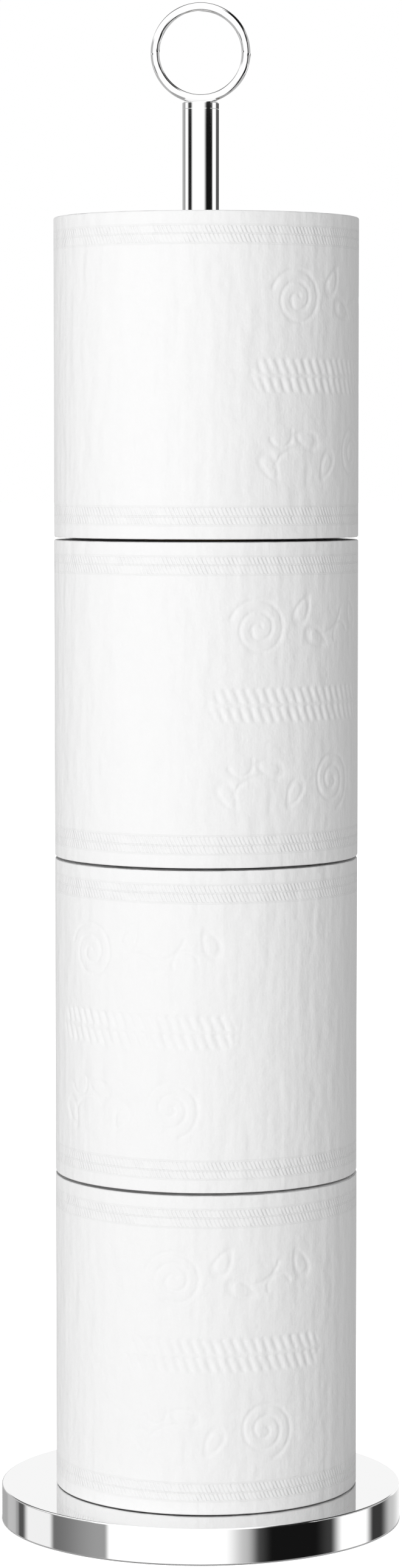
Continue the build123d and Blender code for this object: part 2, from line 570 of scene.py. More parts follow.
@dataclass(frozen=True)
class CrepeTissue:
    """Two-ply crepe tissue, embossed between rollers and wound into a roll.

    Soft white and matt. The large embossed figures are in the mesh; this adds what is too fine for
    it: the creped grain across the sheet, the two rows of slanted dashes near each edge, the
    perforations between sheets, and the wound layers on the cut ends. The dashes and the gaps between
    layers get painted shade in their colour.
    """

    radius: float
    height: float
    turn: float  # azimuth opposite the free end, in degrees
    colour: str = "#f5f5f5"
    # the cloudy tone's colour, and the painted shade in the pressed dashes
    cloud_and_dash_shade_colour: str = "#ececec"
    # painted shade in the gaps between wound layers on the cut ends
    layer_gap_shade_colour: str = "#d2d2d2"
    roughness: float = 0.95
    gloss: float = 0.15
    end_facing: Point = (0.55, 0.85)  # how upright the normal is on the side, and on an end
    crepe_pitch: float = 0.8  # a real crepe is nearer 0.3 and would not show
    crepe_length: float = 3.0
    crepe_depth: float = 0.05
    cockle_size: float = 3.5
    cockle_depth: float = 0.3
    streak_width: float = 4.5  # soft upright waves, where the wound sheet is a little slack
    streak_length: float = 20.0
    streak_depth: float = 0.55
    mottle_size: float = 6.0
    mottle_detail: float = 4.0
    mottle_share: float = 0.35  # of the way from the colour to the colour of the cloudy tone and the painted dash shade
    # how much painted shade the pressed dashes get
    dash_shade_share: float = 0.08
    dash_pitch: float = 1.35
    dash_slant: float = 0.45  # sideways shift of a dash for each millimetre of height
    dash_depth: float = 0.13
    dash_edge: Point = (-0.7, 0.9)  # the levels of a sine where a dash begins and is deepest
    dash_patch_size: float = 5.0  # patches that the roller pressed harder or softer
    dash_patch_edge: Point = (0.35, 0.6)  # the noise's levels in soft and hard patches
    dash_patch_least: float = 0.3  # what is left of a dash in a soft patch
    dash_rows: tuple[Point, ...] = ((5.75, 1.05), (8.45, 1.25))  # from the edge, and half height
    pressed_lines: tuple[float, ...] = (4.3, 7.05, 10.1)  # thin lines along the dash rows
    pressed_line_width: float = 0.35
    pressed_line_strength: float = 0.35  # against a dash
    sheet_length: float = 125.0
    perforation_pitch: float = 1.6
    perforation_width: float = 0.3
    perforation_edge: float = -0.3  # a sine above this is cut
    hole_depth: float = 0.06
    layer_pitch: float = 0.6  # real layers are nearer 0.25 and would not show
    layer_wander: float = 9.0  # how far the layers run out of true, as an angle of the spiral
    layer_detail: float = 3.0
    layer_depth: float = 0.09

    def build(self, name: str) -> Material:
        """Builds the tissue of one roll.

        Args:
            name: The material's name.

        Returns:
            The finished material, for a mesh whose origin is the middle of the roll.
        """
        material, tree = new_material(name)
        coordinates = add_node(tree, "TexCoord")
        place = add_node(
            tree,
            "VectorRotate",
            {"Vector": coordinates.outputs["Object"], "Angle": -math.radians(self.turn)},
            rotation_type="Z_AXIS",
        ).outputs[0]
        xyz, azimuth = bearing(tree, place)
        height = xyz.outputs["Z"]
        flat = add_node(tree, "CombineXYZ", (xyz.outputs["X"], xyz.outputs["Y"]))
        radial = add_node(tree, "VectorMath", (flat,), operation="LENGTH").outputs["Value"]
        arc = add_node(tree, "Math", (azimuth, self.radius * MM), operation="MULTIPLY")
        unrolled = add_node(tree, "CombineXYZ", (arc, radial, height))
        on_side, on_end = self.zones(tree, coordinates.outputs["Normal"])
        pressed, holes, layers = (
            add_node(tree, "Math", (mark, where), operation="MULTIPLY")
            for mark, where in (
                (self.dashes(tree, azimuth, height, unrolled), on_side),
                (self.perforations(tree, azimuth, height), on_side),
                (self.layers(tree, radial, azimuth, unrolled), on_end),
            )
        )
        inputs = {
            "Base Color": self.tint(tree, place, pressed, layers),
            "Roughness": self.roughness,
            "Specular IOR Level": self.gloss,
        }
        surface(tree, inputs, self.relief(tree, unrolled, pressed, holes, layers))
        return material

    def zones(self, tree: Tree, normal: Socket) -> tuple[Node, Node]:
        """Tells the roll's side from its cut ends.

        Args:
            tree: The material's nodes.
            normal: The direction that the surface faces.

        Returns:
            A node that is 1 on the side, and one that is 1 on the ends.
        """
        upright = add_node(tree, "SeparateXYZ", (normal,)).outputs["Z"]
        facing = add_node(tree, "Math", (upright,), operation="ABSOLUTE")
        side, end = self.end_facing
        on_end = add_node(
            tree,
            "MapRange",
            {"Value": facing, "From Min": side, "From Max": end},
            interpolation_type="SMOOTHSTEP",
        )
        return add_node(tree, "Math", (1.0, on_end), operation="SUBTRACT"), on_end

    def relief(self, tree: Tree, unrolled: Node, pressed: Node, holes: Node, layers: Node) -> Node:
        """Adds up the fine relief.

        Args:
            tree: The material's nodes.
            unrolled: The place along the sheet, across the layers and along the axis.
            pressed: 1 where the tissue is pressed.
            holes: 1 in the perforations.
            layers: 1 in the gaps between layers.

        Returns:
            The height, in millimetres.
        """
        crepe = self.upright_grain(tree, unrolled, self.crepe_pitch, self.crepe_length)
        streaks = self.upright_grain(tree, unrolled, self.streak_width, self.streak_length)
        cockle = add_node(tree, "TexNoise", {"Vector": unrolled, "Scale": scale(self.cockle_size)})
        total: Any = 0.0
        for mark, depth in (
            (crepe, self.crepe_depth),
            (cockle, self.cockle_depth),
            (streaks, self.streak_depth),
            (pressed, self.dash_depth),
            (holes, self.hole_depth),
            (layers, self.layer_depth),
        ):
            total = add_node(tree, "Math", (mark, -depth, total), operation="MULTIPLY_ADD")
        return total

    def upright_grain(self, tree: Tree, unrolled: Node, width: float, length: float) -> Node:
        """Draws noise that is stretched along the roll's height.

        Args:
            tree: The material's nodes.
            unrolled: The place along the sheet, across the layers and along the axis.
            width: The size of its grains round the roll, in millimetres.
            length: Their size along the height, in millimetres.

        Returns:
            The noise.
        """
        grain = (scale(width), scale(width), scale(length))
        stretched = add_node(tree, "VectorMath", (unrolled, grain), operation="MULTIPLY")
        return add_node(tree, "TexNoise", {"Vector": stretched, "Scale": 1.0, "Detail": 1.0})

    def dashes(self, tree: Tree, azimuth: Node, height: Socket, unrolled: Node) -> Node:
        """Draws the rows of slanted dashes and their thin lines near both edges.

        Args:
            tree: The material's nodes.
            azimuth: The angle round the roll.
            height: The height above the roll's middle, in metres.
            unrolled: The place along the sheet, across the layers and along the axis.

        Returns:
            A node that is 1 where the tissue is pressed.
        """
        count = round(FULL_TURN * self.radius / self.dash_pitch)
        lean = FULL_TURN * self.dash_slant / self.dash_pitch / MM
        along = add_node(tree, "Math", (azimuth, float(count)), operation="MULTIPLY")
        phase = add_node(tree, "Math", (height, lean, along), operation="MULTIPLY_ADD")
        wave = add_node(tree, "Math", (phase,), operation="SINE")
        begins, deepest = self.dash_edge
        strokes = add_node(
            tree,
            "MapRange",
            {"Value": wave, "From Min": begins, "From Max": deepest},
            interpolation_type="SMOOTHSTEP",
        )
        patches = add_node(
            tree, "TexNoise", {"Vector": unrolled, "Scale": scale(self.dash_patch_size)}
        )
        soft, hard = self.dash_patch_edge
        pressure = add_node(
            tree,
            "MapRange",
            {"Value": patches, "From Min": soft, "From Max": hard, "To Min": self.dash_patch_least},
        )
        strokes = add_node(tree, "Math", (strokes, pressure), operation="MULTIPLY")
        edge = self.height / 2
        bands = [(edge - row, half, strokes) for row, half in self.dash_rows]
        line = self.pressed_line_width / 2
        bands += [(edge - row, line, self.pressed_line_strength) for row in self.pressed_lines]
        level = add_node(tree, "Math", (height,), operation="ABSOLUTE")
        total: Any = 0.0
        for middle, half, strength in bands:
            here = add_node(tree, "Math", (level, middle * MM, half * MM), operation="COMPARE")
            total = add_node(tree, "Math", (here, strength, total), operation="MULTIPLY_ADD")
        return total

    def perforations(self, tree: Tree, azimuth: Node, height: Socket) -> Node:
        """Draws the faint dotted line between two sheets.

        Args:
            tree: The material's nodes.
            azimuth: The angle round the roll; the free end of the tissue is at plus or minus pi.
            height: The height above the roll's middle, in metres.

        Returns:
            A node that is 1 in the small cuts.
        """
        pitch = FULL_TURN * scale(self.perforation_pitch)
        along = add_node(tree, "Math", (height, pitch), operation="MULTIPLY")
        wave = add_node(tree, "Math", (along,), operation="SINE")
        cut = add_node(tree, "Math", (wave, self.perforation_edge), operation="GREATER_THAN")
        half = self.perforation_width / 2 / self.radius
        sheet = self.sheet_length / self.radius
        total: Any = 0.0
        angle = sheet - math.pi
        while angle < math.pi:
            here = add_node(tree, "Math", (azimuth, angle, half), operation="COMPARE")
            total = add_node(tree, "Math", (here, cut, total), operation="MULTIPLY_ADD")
            angle += sheet
        return total

    def layers(self, tree: Tree, radial: Socket, azimuth: Node, unrolled: Node) -> Node:
        """Draws the wound layers on the cut ends as one long uneven spiral.

        Args:
            tree: The material's nodes.
            radial: The distance from the roll's axis, in metres.
            azimuth: The angle round the roll.
            unrolled: The place along the sheet, across the layers and along the axis.

        Returns:
            A node that is 1 in the gaps between layers.
        """
        uneven = add_node(
            tree,
            "TexNoise",
            {"Vector": unrolled, "Scale": scale(self.mottle_size), "Detail": self.layer_detail},
        )
        pitch = FULL_TURN * scale(self.layer_pitch)
        turns = add_node(tree, "Math", (radial, pitch, azimuth), operation="MULTIPLY_ADD")
        phase = add_node(tree, "Math", (uneven, self.layer_wander, turns), operation="MULTIPLY_ADD")
        wave = add_node(tree, "Math", (phase,), operation="SINE")
        return add_node(tree, "MapRange", {"Value": wave}, interpolation_type="SMOOTHSTEP")

    def tint(self, tree: Tree, place: Socket, pressed: Node, layers: Node) -> Socket:
        """Colours the tissue: cloudy white, with painted shade in the pressed dashes and in the gaps
        between layers.

        Args:
            tree: The material's nodes.
            place: The object's own coordinates.
            pressed: 1 where the tissue is pressed.
            layers: 1 in the gaps between layers.

        Returns:
            The colour's socket.
        """
        clouds = add_node(
            tree,
            "TexNoise",
            {"Vector": place, "Scale": scale(self.mottle_size), "Detail": self.mottle_detail},
        )
        grey = add_node(tree, "Math", (clouds, self.mottle_share), operation="MULTIPLY")
        # cloudy tone, plus painted shade in the pressed dashes
        grey = add_node(tree, "Math", (pressed, self.dash_shade_share, grey), operation="MULTIPLY_ADD")
        colour: Any = linear(self.colour)
        # the second mix paints shade into the gaps between layers
        for share, other in ((grey, self.cloud_and_dash_shade_colour), (layers, self.layer_gap_shade_colour)):
            inputs = {"Factor": share, MIX_A: colour, MIX_B: linear(other)}
            mix = add_node(tree, "Mix", inputs, data_type="RGBA")
            colour = mix.outputs[MIX_RESULT]
        return colour


@dataclass(frozen=True)
class CoreBoard:
    """Recycled grey-brown board, wound spirally from two strips and glued.

    Matt and fibrous, with darker flecks of old print and the slanting butt seam of the strip.
    """

    colour: str = "#a8977d"
    fleck_colour: str = "#85765f"
    seam_colour: str = "#6b5e4b"
    fleck_size: float = 2.2
    fleck_detail: float = 6.0
    fibre_size: float = 0.6
    fibre_detail: float = 3.0
    fibre_depth: float = 0.05
    seam_width: float = 0.8
    roughness: float = 0.9
    gloss: float = 0.25

    def build(self, seam_rise: float) -> Material:
        """Builds the board of all the cores.

        Args:
            seam_rise: How far the seam climbs in one turn.

        Returns:
            The finished material, for a mesh whose origin is the middle of the core.
        """
        material, tree = new_material("spiral_wound_board")
        place = add_node(tree, "TexCoord").outputs["Object"]
        xyz, azimuth = bearing(tree, place)
        turns = add_node(tree, "Math", (azimuth, 1 / FULL_TURN), operation="MULTIPLY")
        climb = -scale(seam_rise)
        strip = add_node(tree, "Math", (xyz.outputs["Z"], climb, turns), operation="MULTIPLY_ADD")
        beside = add_node(tree, "Math", (strip, 1.0), operation="PINGPONG")
        reach = self.seam_width / seam_rise
        seam = add_node(
            tree,
            "MapRange",
            {"Value": beside, "From Max": reach, "To Min": 1.0, "To Max": 0.0},
            interpolation_type="SMOOTHSTEP",
        )
        _, board = mottled(
            tree, place, self.fleck_size, self.fleck_detail, self.colour, self.fleck_colour
        )
        fibres = add_node(
            tree,
            "TexNoise",
            {"Vector": place, "Scale": scale(self.fibre_size), "Detail": self.fibre_detail},
        )
        seamed = {"Factor": seam, MIX_A: board, MIX_B: linear(self.seam_colour)}
        mix = add_node(tree, "Mix", seamed, data_type="RGBA")
        inputs = {
            "Base Color": mix.outputs[MIX_RESULT],
            "Roughness": self.roughness,
            "Specular IOR Level": self.gloss,
        }
        surface(tree, inputs, fibres, self.fibre_depth)
        return material


# --- Placing ---------------------------------------------------------------------------------


def attach(
    piece: Piece, body: str, material: Material, nodes: Sequence[str] = ()
) -> None:
    """Dresses one own piece and ties it to its CAD body.

    Args:
        piece: The piece, already in place.
        body: The CAD body that it moves with.
        material: Its finish.
        nodes: The CAD nodes that it stands for.
    """
    piece.data.materials.append(material)
    if nodes:
        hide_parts(*nodes)
    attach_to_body(piece, body)
    LOG.info("%s: %d points, rides on %s", piece.name, len(piece.data.vertices), body)


def dress(node: str, material: Material) -> None:
    """Gives a CAD node that stays its finish.

    Args:
        node: The node's name.
        material: Its finish.
    """
    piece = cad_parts[node]
    if not piece.material_slots:
        piece.data.materials.append(material)
    for held in piece.material_slots:
        held.material = material
    LOG.info("%s: CAD node in %s", node, material.name)


STAND = "stand"  # the CAD body that everything but the rolls belongs to


@dataclass(frozen=True)
class Base:
    """The weighted base: spun cover, iron weight, ribbed pad, and the screw with its washers."""

    cover_wall: float = 1.0
    cover_edge: float = 0.5
    cover_lip: float = 0.1
    cover_inner_edge: float = 0.15
    screw_hole_radius: float = 3.3
    hole_edge: float = 0.1
    cover_facets: int = 320
    pad_hole_radius: float = 12.0
    pad_edge: float = 0.3
    pad_rib_pitch: float = 4.0
    pad_groove_width: float = 1.4
    pad_groove_slope: float = 0.35  # sideways, from the mouth of a groove to its roof
    pad_groove_depth: float = 0.6
    pad_facets: int = 160
    pad_edge_steps: int = 4

    def cover(self) -> Piece:
        """Turns the cup with its mouth down.

        Returns:
            The cup.
        """
        size = Extent.of("base_cover")
        inner, ceiling = size.radius - self.cover_wall, size.top - self.cover_wall
        corners = [
            Corner(size.radius, size.bottom, self.cover_lip),
            Corner(size.radius, size.top, self.cover_edge),
            Corner(self.screw_hole_radius, size.top, self.hole_edge),
            Corner(self.screw_hole_radius, ceiling, self.hole_edge),
            Corner(inner, ceiling, self.cover_inner_edge),
            Corner(inner, size.bottom, self.cover_lip),
        ]
        return turned("cover_spun_cup", rounded(corners), self.cover_facets)

    def pad(self) -> Piece:
        """Moulds the pad, with round grooves in its underside for grip.

        Returns:
            The pad.
        """
        size = Extent.of("base_pad")
        corners = [
            Corner(self.pad_hole_radius, size.top, self.pad_edge),
            Corner(size.radius, size.top, self.pad_edge),
            Corner(size.radius, size.bottom, self.pad_edge),
        ]
        roof = size.bottom + self.pad_groove_depth
        groove = size.radius - self.pad_rib_pitch
        while groove - self.pad_groove_width > self.pad_hole_radius + self.pad_groove_width:
            inside = groove - self.pad_groove_width
            corners += [
                Corner(groove, size.bottom),
                Corner(groove - self.pad_groove_slope, roof),
                Corner(inside + self.pad_groove_slope, roof),
                Corner(inside, size.bottom),
            ]
            groove -= self.pad_rib_pitch
        corners.append(Corner(self.pad_hole_radius, size.bottom, self.pad_edge))
        profile = rounded(corners, steps=self.pad_edge_steps)
        return turned("pad_ribbed_disc", profile, self.pad_facets)

    def build(self, chrome: Material, zinc: Material) -> None:
        """Builds and dresses the base.

        Args:
            chrome: The cover's finish.
            zinc: The finish of the screw and washers.
        """
        attach(self.cover(), STAND, chrome, ["base_cover"])
        attach(self.pad(), STAND, MouldedRubber().build(), ["base_pad"])
        dress("base_weight", CastIron().build())
        for node in ("base_screw", "lock_washer", "flat_washer"):
            dress(node, zinc)


@dataclass(frozen=True)
class Pole:
    """The pole: two lengths of polished tube, joined inside the rolls."""

    wall: float = 0.9
    end_edge: float = 0.03
    edge_steps: int = 4
    facets: int = 128

    def tube(self, name: str, node: str) -> Piece:
        """Draws one length of tube.

        Args:
            name: The piece's name.
            node: The CAD node that gives its place.

        Returns:
            The tube.
        """
        size = Extent.of(node)
        inner = size.radius - self.wall
        corners = [
            Corner(radius, height, self.end_edge)
            for radius, height in (
                (size.radius, size.bottom),
                (size.radius, size.top),
                (inner, size.top),
                (inner, size.bottom),
            )
        ]
        return turned(name, rounded(corners, steps=self.edge_steps), self.facets)

    def build(self, chrome: Material, zinc: Material) -> None:
        """Builds and dresses both lengths and what is inside them.

        Args:
            chrome: The tubes' finish.
            zinc: The finish of the plugs and the stud.
        """
        for name, node in (("tube_lower", "pole_lower"), ("tube_upper", "pole_upper")):
            attach(self.tube(name, node), STAND, chrome, [node])
        for node in ("foot_insert", "joint_socket", "joint_stud"):
            dress(node, zinc)


@dataclass(frozen=True)
class RingTop:
    """The top of the pole: a turned cap, and a ring of round wire let into it."""

    cap_edge: float = 0.3
    seam_edge: float = 0.03
    head_height: float = 2.2
    spigot_radius: float = 4.82
    cap_facets: int = 128
    wire_diameter: float = 2.85
    facets_along: int = 288
    facets_across: int = 64

    def cap(self) -> Piece:
        """Turns the cap with its hidden spigot.

        Returns:
            The cap.
        """
        size = Extent.of("top_cap")
        shoulder = size.top - self.head_height
        corners = [
            Corner(0.0, size.bottom),
            Corner(self.spigot_radius, size.bottom, self.seam_edge),
            Corner(self.spigot_radius, shoulder, self.seam_edge),
            Corner(size.radius, shoulder, self.seam_edge),
            Corner(size.radius, size.top, self.cap_edge),
            Corner(0.0, size.top),
        ]
        profile = rounded(corners, closed=False)
        return turned("cap_turned", profile, self.cap_facets, closed=False)

    def ring(self) -> Piece:
        """Bends the closed ring.

        Returns:
            The ring.
        """
        size = Extent.of("ring_handle")
        wire = self.wire_diameter / 2
        along = np.linspace(0, FULL_TURN, self.facets_along, endpoint=False)[None, :]
        across = np.linspace(0, FULL_TURN, self.facets_across, endpoint=False)[:, None]
        reach = size.radius - wire + wire * np.cos(across)
        places = np.broadcast_arrays(
            reach * np.sin(along), wire * np.sin(across), size.middle - reach * np.cos(along)
        )
        return grid_object("ring_bent_wire", np.stack(places, axis=-1))

    def build(self, chrome: Material) -> None:
        """Builds and dresses the cap and the ring.

        Args:
            chrome: The finish of both.
        """
        attach(self.cap(), STAND, chrome, ["top_cap"])
        attach(self.ring(), STAND, chrome, ["ring_handle"])


# --- Embossing -------------------------------------------------------------------------------


@dataclass(frozen=True)
class Swirl:
    """An embossed spiral, centred on a point of the sheet."""

    x: float
    y: float
    start: float = 0.0  # as a share of a turn
    hand: Hand = Hand.RIGHT
    outer: float = 9.6
    inner: float = 1.2
    turns: float = 2.3

    def distance(self, x: np.ndarray, y: np.ndarray) -> np.ndarray:
        """Measures how far points of the sheet lie from the stroke.

        Args:
            x: Places along the sheet.
            y: Heights above the sheet's middle.

        Returns:
            The distances.
        """
        dx, dy = (x - self.x) * self.hand.value, y - self.y
        reach = np.hypot(dx, dy)
        share = np.arctan2(dy, dx) / FULL_TURN - self.start
        pitch = (self.outer - self.inner) / self.turns
        wound = (reach - self.inner) / pitch
        turn = np.round(wound - share) + share
        held = np.clip(turn, 0, self.turns)
        past = np.abs(turn - held) * FULL_TURN * reach
        return np.hypot(reach - self.inner - pitch * held, past)


@dataclass(frozen=True)
class Leaf:
    """An embossed leaf outline."""

    x: float
    y: float
    angle: float
    length: float = 8.4
    width: float = 4.0
    middle_width: float = 1.15  # as a share of the width, and what it loses towards the tip
    taper: float = 0.35

    def distance(self, x: np.ndarray, y: np.ndarray) -> np.ndarray:
        """Measures how far points of the sheet lie from the stroke.

        Args:
            x: Places along the sheet.
            y: Heights above the sheet's middle.

        Returns:
            The distances.
        """
        turn = math.radians(self.angle)
        dx, dy = x - self.x, y - self.y
        along = (dx * math.cos(turn) + dy * math.sin(turn)) / (self.length / 2)
        across = (dy * math.cos(turn) - dx * math.sin(turn)) / (self.width / 2)
        taper = self.middle_width - self.taper * np.clip(along, -1, 1)
        return np.abs(np.hypot(along, across / taper) - 1) * self.width / 2


@dataclass(frozen=True)
class Curl:
    """An embossed stem, bent along part of a circle."""

    x: float
    y: float
    radius: float
    first: float
    last: float

    def distance(self, x: np.ndarray, y: np.ndarray) -> np.ndarray:
        """Measures how far points of the sheet lie from the stroke.

        Args:
            x: Places along the sheet.
            y: Heights above the sheet's middle.

        Returns:
            The distances.
        """
        dx, dy = x - self.x, y - self.y
        reach = np.hypot(dx, dy)
        middle, half = (self.first + self.last) / 2, (self.last - self.first) / 2
        angle = (np.degrees(np.arctan2(dy, dx)) - middle + 180) % 360 - 180
        past = np.radians(np.maximum(np.abs(angle) - half, 0)) * reach
        return np.hypot(reach - self.radius, past)


@dataclass(frozen=True)
class Embossing:
    """The figures pressed into the tissue: a band of slanted ribs with swirls and leaves."""

    stroke_width: float = 1.2
    stroke_depth: float = 0.24
    stroke_steepness: float = 3
    rib_pitch: float = 3.3
    rib_height: float = 4.9
    rib_gap: float = 0.8
    rib_slant: float = 2.0
    rib_stagger: float = 0.25  # of the pitch, to one side in a row and to the other in the next
    rib_depth: float = 0.34
    rib_steepness: float = 1.4
    rib_fade: Point = (0.5, 0.3)  # inside and beyond each end of a rib
    band_half_length: float = 35.0
    band_fade: float = 3
    band_end_slant: float = 0.6
    figure_top: float = 41.0
    repeats: int = 2
    strokes: tuple[Swirl | Leaf | Curl, ...] = (
        Swirl(-17.0, 23.5, 0.15),
        Swirl(12.0, -24.0, 0.4, Hand.LEFT),
        Leaf(-1.5, 29.0, 60),
        Leaf(4.5, 20.5, -25),
        Leaf(25.0, 27.5, 115),
        Leaf(-4.5, -27.5, 240),
        Leaf(-13.5, -19.5, 160),
        Leaf(-27.0, -28.0, 300),
        Curl(8.0, 31.0, 9.0, 250, 345),
        Curl(-16.5, -31.5, 9.5, 70, 160),
        Curl(17.0, 21.0, 4.0, 20, 200),
        Curl(-23.0, -18.0, 4.0, 200, 380),
    )

    def ribs(self, x: np.ndarray, y: np.ndarray) -> np.ndarray:
        """Presses the two rows of slanted ribs.

        Args:
            x: Places along the sheet, from the middle of the figure.
            y: Heights above the sheet's middle.

        Returns:
            How deep the tissue is pressed.
        """
        depth = np.zeros_like(x)
        half = self.rib_height / 2
        inside, beyond = self.rib_fade
        for side in (-1, 1):
            middle = side * (self.rib_gap / 2 + half)
            within = 1 - smooth_step(np.abs(y - middle), half - inside, half + beyond)
            shift = self.rib_slant * (y - middle) / self.rib_height
            shift = shift + side * self.rib_pitch * self.rib_stagger
            wave = np.cos(FULL_TURN * (x + shift) / self.rib_pitch)
            depth = np.maximum(depth, within * (0.5 + 0.5 * wave) ** self.rib_steepness)
        reach = np.abs(x) + np.abs(y) * self.band_end_slant
        full = self.band_half_length - self.band_fade
        ends = 1 - smooth_step(reach, full, self.band_half_length)
        return depth * ends * self.rib_depth

    def depth(self, x: np.ndarray, y: np.ndarray, circumference: float) -> np.ndarray:
        """Presses the whole pattern into the outer sheet.

        Args:
            x: Places along the sheet; the free end is at plus or minus half the circumference.
            y: Heights above the sheet's middle.
            circumference: The roll's circumference.

        Returns:
            How deep the tissue is pressed.
        """
        repeat = circumference / self.repeats
        x = (x % repeat) - repeat / 2
        near = np.min([stroke.distance(x, y) for stroke in self.strokes], axis=0)
        away = (near / (self.stroke_width / 2)) ** self.stroke_steepness
        return np.maximum(self.stroke_depth * np.exp(-away), self.ribs(x, y))


# --- Rolls -----------------------------------------------------------------------------------


@dataclass(frozen=True)
class Core:
    """The board tube inside a roll."""

    level: int
    wall: float = 1.0
    facets: int = 192
    rows: int = 48
    edge: float = 0.15
    end_clearance: float = 0.01  # keeps the cut ends of stacked cores out of one plane
    seam_rise: float = 82.0
    seam_depth: float = 0.14
    seam_width: float = 0.9

    @property
    def node(self) -> str:
        """The CAD node that it stands for."""
        return f"roll_{self.level}_core"

    def mesh(self) -> Piece:
        """Winds the tube, with the slanting seam pressed into both faces.

        Returns:
            The tube.
        """
        size = Extent.of(self.node)
        half = size.height / 2 - self.end_clearance
        levels = np.linspace(-half + self.edge, half - self.edge, self.rows)
        inner = size.radius - self.wall
        outside = np.stack([np.full_like(levels, size.radius), levels], axis=-1)
        inside = np.stack([np.full_like(levels, inner), levels[::-1]], axis=-1)
        top = np.array([(size.radius - self.edge, half), (inner + self.edge, half)])
        bottom = top[::-1] * (1, -1)
        profile = np.concatenate([outside, top, inside, bottom])
        azimuth = np.linspace(-math.pi, math.pi, self.facets, endpoint=False)
        radius, height = np.broadcast_arrays(profile[:, :1], profile[:, 1:])
        strip = azimuth[None, :] / FULL_TURN - height / self.seam_rise
        beside = np.abs(strip - np.round(strip)) * self.seam_rise
        pressed = self.seam_depth * np.exp(-((beside / self.seam_width) ** 2))
        into_wall = np.where(profile[:, :1] > inner + self.wall / 2, -1.0, 1.0)
        points = around(radius + into_wall * pressed, azimuth, height)
        piece = grid_object(f"{self.node}_tube", points)
        piece.location = size.centre
        return piece

    def build(self, board: Material) -> None:
        """Builds and dresses the core.

        Args:
            board: Its finish.
        """
        attach(self.mesh(), self.node, board, [self.node])


